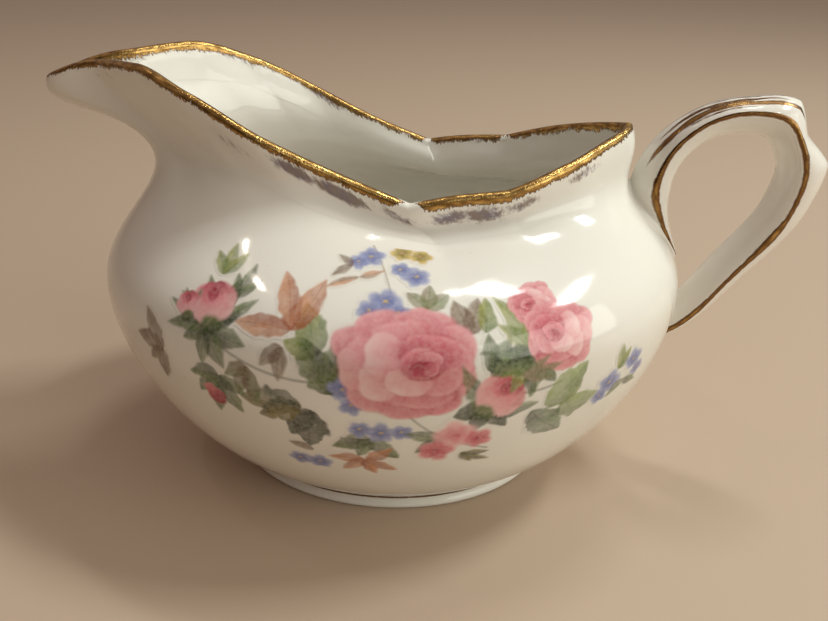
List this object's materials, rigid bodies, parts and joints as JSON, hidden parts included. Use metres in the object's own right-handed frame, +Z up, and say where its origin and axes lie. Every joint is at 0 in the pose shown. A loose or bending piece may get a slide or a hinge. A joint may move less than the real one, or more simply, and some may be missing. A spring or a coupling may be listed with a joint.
{
  "type": "porcelain cream jug",
  "caption": "Low oval porcelain cream jug with a long flared spout, wavy gilded rim, spurred strap handle, oval foot ring and rose spray decoration.",
  "frame": {"origin": "middle of the overall outline, on the surface that the foot rests on", "axes": "+X towards the handle and -X towards the spout, +Z up, the decorated side that is usually seen faces -Y"},
  "size_m": [0.1306, 0.0826, 0.0721],
  "materials": {
    "porcelain": "glossy glaze",
    "gold": "burnished gilding",
    "flower_transfer": "printed and glazed"
  },
  "bodies": {
    "root": {"jug_body": "porcelain", "foot_ring": "porcelain", "handle": "porcelain", "upper_joint_slip": "porcelain", "lower_joint_slip": "porcelain", "rim_gilding": "gold", "foot_gilding": "gold", "handle_edge_gilding_back": "gold", "handle_edge_gilding_front": "gold", "handle_crest_gilding": "gold", "front_flower_transfer": "flower_transfer", "back_flower_transfer": "flower_transfer"}
  },
  "joints": []
}
